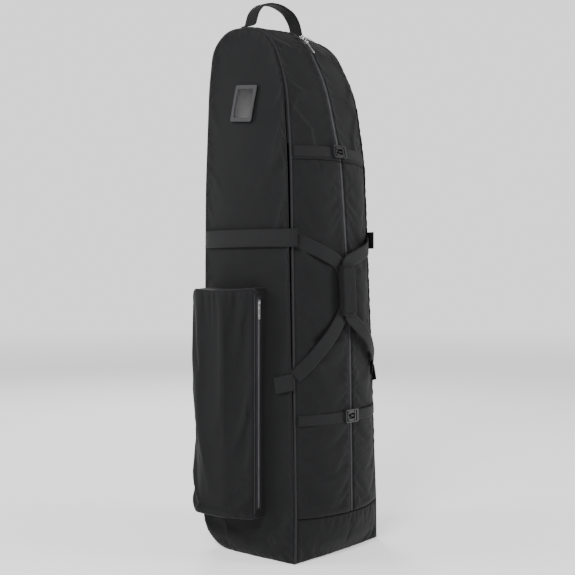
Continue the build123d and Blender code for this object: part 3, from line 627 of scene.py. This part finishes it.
finish_piece(middle, mat_body, "bag", ["middle_back_panel"])
lower = arch_panel("lower_back_cloth", S_LOWER_BACK + 1, S_BAY, -WIDE, WIDE, 19, cap=1, fold=0.25, sim=False)
finish_piece(lower, mat_back, "bag", ["lower_back_panel"])
corner = arch_panel("corner_cloth", S_BAY, S_END, -56.5, 56.5, 23, cap=1, fold=0.2, sim=False)
finish_piece(corner, mat_back, "bag", ())

# strips sewn behind the seams between panels, so that no light comes through them
for name, s in (("split", S_SPLIT), ("upper_back", S_UPPER_BACK), ("lower_back", S_LOWER_BACK)):
    reach = float(half_width(along_arch(s)[1])) - 5
    backing = arch_strip("seam_strip_" + name, s - 9, s + 9, -reach, reach, -3.6, 1.2)
    finish_piece(backing, mat_back, "bag", ())


def lining_point(s, x, height):
    """Point over the padding sewn inside the hood."""
    return arch_points(s, x, height - 8.0)


padding = arch_panel("hood_padding_cloth", S_SPLIT + 40, S_TOP + 258, 16 - WIDE, WIDE - 16, 27, cell=10,
                     point=lining_point, cap=1, fold=0.6, sim=False)
finish_piece(padding, mat_quilt, "bag", ["hood_padding"])


def inset_arch(inset):
    """Closed outline of the side panel: front seam, top, back, corner and base."""
    inward = np.stack([ARCH_T[:, 1], -ARCH_T[:, 0]], axis=1) * inset
    points = ARCH_YZ + inward
    points[:, 1] = np.maximum(points[:, 1], 0.3)
    base = np.array([[-142 + inset, 0.3]])
    return np.concatenate([points, [[points[-1][0], 0.3]], base])


def side_grid():
    """Coons patch over the side outline, coarse (y, z) grid."""
    outline = inset_arch(SEAM_GAP)
    s_front = arch_length(lambda y, z: y >= -64)
    s_back = arch_length(lambda y, z: y > 136 and z > 1100)
    s_low = arch_length(lambda y, z: y > 100 and z <= 30)
    n = len(ARCH_S)
    cuts = [int(s / ARCH_S[-1] * (n - 1)) for s in (s_front, s_back, s_low)]

    def even(points, count):
        d = np.concatenate([[0], np.cumsum(np.linalg.norm(np.diff(points, axis=0), axis=1))])
        t = np.linspace(0, d[-1], count)
        return np.stack([np.interp(t, d, points[:, i]) for i in (0, 1)], axis=1)

    rows, columns = 138, 32
    front = even(outline[:cuts[0] + 1], rows)
    roof = even(outline[cuts[0]:cuts[1] + 1], columns)
    back = even(outline[cuts[1]:cuts[2] + 1][::-1], rows)
    base = even(outline[cuts[2]:][::-1], columns)
    front[0] = base[0]
    p = np.linspace(0, 1, columns)[None, :, None]
    q = np.linspace(0, 1, rows)[:, None, None]
    grid = (1 - p) * front[:, None] + p * back[:, None] + (1 - q) * base[None] + q * roof[None]
    grid -= (1 - p) * (1 - q) * base[0] + p * (1 - q) * base[-1] + (1 - p) * q * roof[0] + p * q * roof[-1]
    y, z = grid[..., 0], grid[..., 1]
    flat = grid.reshape(-1, 2)
    far = np.full(len(flat), 1e9)
    closed = even(np.concatenate([outline, outline[:1]]), 900)
    for point in closed:
        far = np.minimum(far, np.sum((flat - point) ** 2, axis=1))
    return y, z, np.sqrt(far).reshape(y.shape)


side_y, side_z, side_edge = side_grid()
for side, name in ((-1, "left"), (1, "right")):
    def side_points(y, z, height, side=side):
        return side_point(y, z, height) * [-side, 1, 1]
    panel = cloth_panel("side_cloth_" + name, side_points, (side_y, side_z, side_y, side_z), side_edge,
                        31 + side, cap=6, flip=side > 0)
    finish_piece(panel, mat_body, "bag", ["side_panel_" + name])

# ------------------------------------------------------------------ zippers
TAPE_HEIGHT = -0.9
CHAIN_HEIGHT = 0.6
for name, body, side in (("left", "flap_left", -1), ("right", "flap_right", 1)):
    lo, hi = sorted((side * 0.35, side * 9.0))
    tape = arch_strip("flap_tape_" + name, S_BAND + 1, S_SPLIT - 1, lo, hi, TAPE_HEIGHT, 1.0)
    coil = teeth("flap_coil_" + name, arch_frames(S_BAND + 3, S_SPLIT - 2, 1.9, 0, CHAIN_HEIGHT), side=side)
    finish_piece(tape, mat_tape, body, ["flap_zipper_" + name])
    finish_piece(coil, mat_coil, body, ())
tape = arch_strip("hood_tape", S_SPLIT + 1, S_TOP - 4, -9, 9, TAPE_HEIGHT, 1.0)
finish_piece(tape, mat_tape, "bag", ["hood_zipper"])
coil = teeth("hood_coil", arch_frames(S_SPLIT + 2, S_TOP - 6, 1.9, 0, CHAIN_HEIGHT))
finish_piece(coil, mat_coil, "bag", ())

# ------------------------------------------------------------------ side pockets
POCKET_Z = (100.0, 628.0)
POCKET_ZIP_X = -193.0
POCKET_CAP = 9.0           # most that the pocket's cloth may move in the simulation
POCKET_TAPE_Y = -61.5      # tape and coil stand just proud of the front gusset
POCKET_COIL_Y = -62.1


def pocket_wrap():
    """Left pocket's outer cloth as a grid: columns run round the plan, rows up the height."""
    corners = [((-158, -60), 0), ((-205, -60), 9), ((-235, 15), 70), ((-235, 95), 45), ((-211, 134), 26),
               ((-158, 134), 0)]
    _, line = rounded_line(corners, 1.0)
    steps = np.linspace(0, len(line) - 1, 42).round().astype(int)
    x, y = line[steps].T
    far_top = 1 - np.clip((134 - y) / 34, 0, 1)
    near = 1 - np.clip((y + 60) / 9, 0, 1)
    cut = 34 * (1 - np.sqrt(np.clip(1 - far_top ** 2, 0, 1)))
    cut += 9 * (1 - np.sqrt(np.clip(1 - near ** 2, 0, 1)))
    rows = 60
    t = np.linspace(0, 1, rows)[:, None]
    z = (POCKET_Z[0] + cut) * (1 - t) + (POCKET_Z[1] - cut) * t
    sag = 5 * np.sin(math.pi * np.clip((y + 60) / 194, 0, 1))
    z = z - sag[None] * t ** 3
    grid = np.stack([np.repeat(x[None], rows, 0), np.repeat(y[None], rows, 0), z], axis=-1)
    along = np.repeat(steps[None].astype(float), rows, 0)
    return grid, along


def pocket(side, name, seed):
    grid, u = pocket_wrap()
    if side > 0:
        grid = grid * [-1, 1, 1]
    v = grid[..., 2]
    normal = grid_normals(grid) * (-1 if side > 0 else 1)
    front = np.clip((grid[..., 1] + 56) / 18, 0, 1)[..., None]
    rest = drape(grid, normal, POCKET_CAP)
    grid = grid + (rest - grid) * front
    edge = np.minimum(np.minimum(u, u.max() - u), np.minimum(v - v[:1], v[-1:] - v))
    grid, u, v, edge, front = (refine(g, 4) for g in (grid, u, v, edge, front[..., 0]))
    normal = grid_normals(grid) * (-1 if side > 0 else 1)
    edge = np.maximum(edge, 0)
    crease = creases(u, v, edge, u + v, seed, seam=1.6, drag=2.0, broad=2.4)
    lift = edge_roll(edge, 1.0, 3.0) + np.clip(front, 0.06, 1) * crease
    outer = grid + normal * lift[..., None]
    wrap = closed_sheet("pocket_cloth_" + name, outer, grid - normal * 1.5, u, v, edge, side > 0)
    parts = []
    for row, label in ((-1, "top"), (0, "bottom")):
        rim_line = grid[row] + normal[row] * 0.4
        parts.append(tube("pocket_piping_" + label + name, rim_line, 1.9))
        inner = np.stack([np.sign(rim_line[:, 0]) * 150, rim_line[:, 1], rim_line[:, 2]], axis=1)
        t = np.linspace(0, 1, 14)[:, None, None]
        cap = rim_line[None] * (1 - t) + inner[None] * t
        puff = 3.0 * np.sin(math.pi * t[..., 0]) ** 0.8 * (1 if row else -1)
        cap[..., 2] += puff + 0.8 * value_noise(cap[..., 1] / 14, cap[..., 0] / 30, seed + 5)
        uu, vv = cap[..., 0].copy(), cap[..., 1].copy()
        under = cap - [0, 0, 1.5 * (1 if row else -1)]
        flip = (side > 0) == (row == -1)
        parts.append(closed_sheet("pocket_cap_" + label + name, cap, under, uu, vv, np.full(uu.shape, 30.0),
                                  flip))
    front_line = np.array([[side * 205.5, -60.8, z] for z in np.linspace(112, 616, 40)])
    parts.append(tube("pocket_edge_" + name, front_line, 1.5))
    for obj in parts:
        if "cap" in obj.name:
            obj.data.materials.append(mat_body)
        else:
            obj.data.materials.append(mat_pipe)
    wrap.data.materials.append(mat_body)
    piece = joined("pocket_cloth_" + name, [wrap] + parts)
    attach(piece, "bag")
    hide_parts("pocket_" + name)
    x = side * -POCKET_ZIP_X
    z = np.arange(126, 604, 1.9)
    axes = (np.array([1.0, 0, 0]), np.array([0, 0, 1.0]), np.array([0, -1.0, 0]))
    frames = [(np.array([x, POCKET_COIL_Y, k]), *axes) for k in z]
    chain = teeth("pocket_coil_" + name, frames)
    finish_piece(chain, mat_pocket_coil, "bag", ())
    web = np.array([[x, POCKET_TAPE_Y, k] for k in np.linspace(120, 610, 40)])
    tape = swept("pocket_tape_" + name, web, np.tile([1.0, 0, 0], (40, 1)), np.tile([0, -1.0, 0], (40, 1)),
                 web_profile(17, 0.9))
    finish_piece(tape, mat_tape, "bag", ["pocket_zipper_" + name])


pocket(-1, "left", 41)
pocket(1, "right", 47)

# ------------------------------------------------------------------ webbing on the sides and front
def on_side(y, z, height, side):
    return side_point(np.asarray(y, float), np.asarray(z, float), height) * [-side, 1, 1]


def side_band(side, name):
    y = np.linspace(-141, 148, 60)
    rise = 2.2 + 2.2 * np.clip((y + 141) / 16, 0, 1) * np.clip((148 - y) / 16, 0, 1)
    points = on_side(y, 745 + 0 * y, rise, side)
    across = np.tile([0, 0, 1.0], (60, 1))
    normal = np.tile([float(side), 0, 0], (60, 1))
    return swept("side_band_" + name, points, across, normal, web_profile(42, 2.0))


def front_strap(name, s, x0, x1, height, body, nodes, slack=0.0):
    """Compression strap across the front at one arc length, from x0 to x1."""
    x = np.linspace(x0, x1, 60)
    bow = slack * np.sin(math.pi * (x - x0) / (x1 - x0)) ** 2
    points = arch_points(s + 0 * x, x, height + bow)
    climb = s + 6 * slack * (x - x0) / (x1 - x0) / 10
    points += arch_points(climb, x, height) - arch_points(s + 0 * x, x, height)
    along = arch_points(s + 1 + 0 * x, x, 0) - arch_points(s + 0 * x, x, 0)
    along /= np.linalg.norm(along, axis=1)[:, None]
    tangent = np.gradient(points, axis=0)
    normal = np.cross(along, tangent)
    normal /= -np.linalg.norm(normal, axis=1)[:, None]
    piece = swept(name, points, along, normal, web_profile(25, 1.7))
    return finish_piece(piece, mat_web, body, nodes)


def arch_spot(z):
    return arch_length(lambda y, k: k >= z)


# strap height above the middle of the cloth; the lower one clears the flap's deeper bulge
STRAP_RISE = {"upper": 5.4, "lower": 6.6}
for name, z, bodies in (("upper", 945, ("bag", "bag")), ("lower", 325, ("flap_left", "flap_right"))):
    s = arch_spot(z)
    reach = half_width(z) - 4
    front_strap("strap_web_left_" + name, s, -reach, -29, STRAP_RISE[name], bodies[0],
                ["strap_left_" + name])
    front_strap("strap_web_right_" + name, s, 4, reach, STRAP_RISE[name], bodies[1],
                ["strap_right_" + name], slack=0.0 if name == "upper" else 4.0)
webs = []
for side, name in ((-1, "left"), (1, "right")):
    band = side_band(side, name)
    band.data.materials.append(mat_web)
    y = np.linspace(-139, -96, 12)
    low = swept("side_low_" + name, on_side(y, 416 - 0.25 * (y + 139), 4.2, side),
                np.tile([0, 0.2, 1.0], (12, 1)), np.tile([float(side), 0, 0], (12, 1)), web_profile(38, 2.0))
    low.data.materials.append(mat_web)
    webs += [band, low]
finish_piece(joined("side_webbing_cloth", webs), mat_web, "bag", ["side_webbing"])

# ------------------------------------------------------------------ carry loops and grip
LOOP_KEYS = {
    -1: [(-151, 744, 1.5), (-120, 729, 4), (-80, 708, 6), (-42, 686, 7), (-24, 660, 7), (-22, 620, 6.7),
         (-24, 582, 7), (-44, 549, 8), (-80, 506, 9), (-118, 462, 6), (-151, 425, 1.5)],
    1: [(151, 744, 1.5), (118, 732, 9), (70, 716, 18), (20, 700, 17), (-12, 686, 14), (-22, 660, 13.7),
        (-22, 620, 13.7), (-22, 582, 13.7), (-8, 552, 16), (40, 512, 24), (92, 466, 18), (130, 436, 7),
        (151, 424, 1.5)],
}


def carry_loop(side, name):
    keys = []
    for x, z, height in LOOP_KEYS[side]:
        s = arch_spot(z)
        limit = half_width(z) + 1
        keys.append(arch_points(np.array([s]), np.array([np.clip(x, -limit, limit)]), 2.5 + height)[0])
    points = smooth_line(keys, 150)
    tangent = np.gradient(points, axis=0)
    tangent /= np.linalg.norm(tangent, axis=1)[:, None]
    lean = np.clip(points[:, 0] / 150, -1, 1)
    out = np.stack([lean * 0.75, -1 + 0 * lean, 0 * lean], axis=1)
    across = np.cross(tangent, out)
    across /= np.linalg.norm(across, axis=1)[:, None]
    normal = np.cross(across, tangent)
    span = np.linspace(0, 1, 150)
    pinch = 1 - 0.12 * np.exp(-((points[:, 2] - 620) / 60) ** 4 * (np.abs(points[:, 0] + 22) < 14))
    profile = web_profile(38, 2.3)[None] * np.stack([pinch, 1 + 0 * span], axis=1)[:, None, :]
    points = points + normal * (0.5 * value_noise(span * 14, 0 * span, 60 + side))[:, None]
    piece = swept("loop_web_" + name, points, across, normal, profile)
    finish_piece(piece, mat_web, None, ["carry_loop_" + name])
    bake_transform(piece)


carry_loop(-1, "left")
carry_loop(1, "right")


def local_frame(x, z):
    s = np.array([arch_spot(z)])
    origin = arch_points(s, np.array([x]), 2.5)[0]
    across = arch_points(s, np.array([x + 1.0]), 2.5)[0] - arch_points(s, np.array([x - 1.0]), 2.5)[0]
    up = arch_points(s + 5, np.array([x]), 2.5)[0] - arch_points(s - 5, np.array([x]), 2.5)[0]
    across /= np.linalg.norm(across)
    out = np.cross(across, up / np.linalg.norm(up))
    out /= np.linalg.norm(out)
    return origin, across, np.cross(out, across), out


def grip():
    """Padded wrap round the loops: a soft sleeve with rolled ends, seams and a closing flap."""
    origin, across, up, out = local_frame(-22.0, 620.0)
    rows, around = 60, 48
    t = np.linspace(-1, 1, rows)
    a = np.linspace(0, 2 * math.pi, around, endpoint=False)
    points, profiles = [], []
    for k in t:
        fat = (1 - 0.16 * abs(k) ** 6) * (1 + 0.02 * math.sin(9 * k))
        end = math.sqrt(max(0.0, 1 - max(0, (abs(k) - 0.955) / 0.045) ** 2))
        half_x, half_z = 23 * fat * (0.72 + 0.28 * end), 7.8 * fat * (0.5 + 0.5 * end)
        power = 0.42
        x = half_x * np.sign(np.cos(a)) * np.abs(np.cos(a)) ** power
        z = half_z * np.sign(np.sin(a)) * np.abs(np.sin(a)) ** 0.62
        z = z + 0.5 * value_noise(x / 9, k * 9 + 0 * x, 77) + 0.5 * value_noise(x / 20, k * 3 + 0 * x, 79)
        profiles.append(np.stack([x, z + 16.4], axis=1))
        points.append(origin + up * 60 * k)
    n = len(points)
    piece = swept("grip_cloth", np.array(points), np.tile(across, (n, 1)), np.tile(out, (n, 1)),
                  np.array(profiles))
    finish_piece(piece, mat_grip, "flap_right", ["grip"])
    cover = []
    for k in np.linspace(-1, 1, 40):
        cover.append(origin + up * 53 * k + out * 25.4 + across * -1.0)
    n = len(cover)
    x = np.linspace(-1, 1, 15) * 21
    top = 0.9 - 1.1 * (np.abs(x) / 21) ** 6
    section = np.concatenate([np.stack([x, top], axis=1), np.stack([x, top - 1.6], axis=1)[::-1]])
    rows = np.array([section * [1 - 0.25 * max(0, abs(k) - 0.94) / 0.06, 1] for k in np.linspace(-1, 1, n)])
    rows[..., 1] += 0.35 * value_noise(rows[..., 0] / 8, np.linspace(0, 9, n)[:, None] + 0 * rows[..., 0], 81)
    flap = swept("grip_flap_cloth", np.array(cover), np.tile(across, (n, 1)), np.tile(out, (n, 1)), rows)
    finish_piece(flap, mat_grip, "grip_cover", ["grip_flap"])


mat_grip = fabric("grip_fabric", CHARCOAL, pitch=0.0012, stitch=(0.003,))
grip()

# ------------------------------------------------------------------ top handle
HANDLE_KEYS = [(-104, 57, 1264.5), (-95, 57, 1267), (-88.5, 57, 1273), (-85, 57, 1283), (-76, 57, 1303),
               (-56, 57, 1322), (-28, 57, 1332), (0, 57, 1335)]
keys = HANDLE_KEYS + [(-x, y, z) for x, y, z in HANDLE_KEYS[-2::-1]]
points = smooth_line(keys, 120)
tangent = frame_along(points, np.array([0, 0.0, 1.0]) + 0 * points)[0]
across = np.tile([0, 1.0, 0], (120, 1))
normal = np.cross(tangent, across)
mid = np.clip(1 - np.abs(points[:, 0]) / 62, 0, 1)
width = 1 - 0.10 * np.clip(mid * 3, 0, 1)
thick = 1 + 0.9 * np.clip(mid * 4, 0, 1)
profile = web_profile(38, 2.6)[None] * np.stack([width, thick], axis=1)[:, None, :]
handle = swept("handle_web", points, across, -normal, profile)
handle.data.materials.append(mat_web)
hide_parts("top_handle", "handle_anchors")
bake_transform(handle)

# ------------------------------------------------------------------ studio
def studio():
    bpy.ops.mesh.primitive_plane_add(size=80, location=(0, 0, -0.0005))
    floor = bpy.context.object
    floor.name = "floor"
    mat, tree, shader = nodes_of("floor_paper")
    shader.inputs["Base Color"].default_value = (0.9, 0.9, 0.9, 1)
    shader.inputs["Specular IOR Level"].default_value = 0.0
    far = add(tree, "ShaderNodeVectorMath", {0: add(tree, "ShaderNodeTexCoord").outputs["Object"]},
              operation="LENGTH").outputs["Value"]
    glow = add(tree, "ShaderNodeMapRange", {0: far, 1: 1.5, 2: 9.0, 3: 0.55, 4: 1.45}).outputs[0]
    dim = add(tree, "ShaderNodeMapRange", {0: far, 1: 1.5, 2: 9.0, 3: 0.85, 4: 0.0}).outputs[0]
    paper = add(tree, "ShaderNodeCombineColor", {0: dim, 1: dim, 2: dim}).outputs[0]
    tree.links.new(paper, shader.inputs["Base Color"])
    tree.links.new(glow, shader.inputs["Emission Strength"])
    shader.inputs["Emission Color"].default_value = (1, 1, 1, 1)
    shader.inputs["Roughness"].default_value = 0.9
    floor.data.materials.append(mat)
    world = bpy.data.worlds.new("studio")
    world.use_nodes = True
    tree = world.node_tree
    seen = add(tree, "ShaderNodeLightPath").outputs["Is Camera Ray"]
    strength = maths(tree, "MULTIPLY_ADD", seen, 1.15, 0.3)
    tree.links.new(strength, tree.nodes["Background"].inputs[1])
    tree.nodes["Background"].inputs[0].default_value = (1, 1, 1, 1)
    bpy.context.scene.world = world
    for name, place_at, size, power in (
        ("key", (-3.0, -1.2, 2.6), 1.0, 110), ("fill", (1.6, -3.0, 1.5), 1.2, 85),
        ("rim", (2.0, 2.6, 2.6), 1.2, 90), ("left", (-2.6, 2.2, 1.8), 1.2, 70),
    ):
        light = bpy.data.lights.new(name, "AREA")
        light.size = size
        light.energy = power
        lamp = bpy.data.objects.new(name, light)
        lamp.location = place_at
        aim = np.array([0, 0, 0.7]) - np.array(place_at)
        lamp.rotation_euler = (math.atan2(math.hypot(aim[0], aim[1]), -aim[2]), 0,
                               math.atan2(aim[1], aim[0]) - math.pi / 2)
        bpy.context.scene.collection.objects.link(lamp)


studio()
camera = bpy.data.cameras.new("camera")
camera.sensor_width = 36
camera.lens = 1053 / 575 * 36
camera.shift_y = -0.032
eye = bpy.data.objects.new("camera", camera)
eye.location = (-2.004, -1.668 + SHIFT_Y / 1000, 0.673)
eye.rotation_euler = (math.radians(90), 0, math.radians(-50))
bpy.context.scene.collection.objects.link(eye)
bpy.context.scene.camera = eye
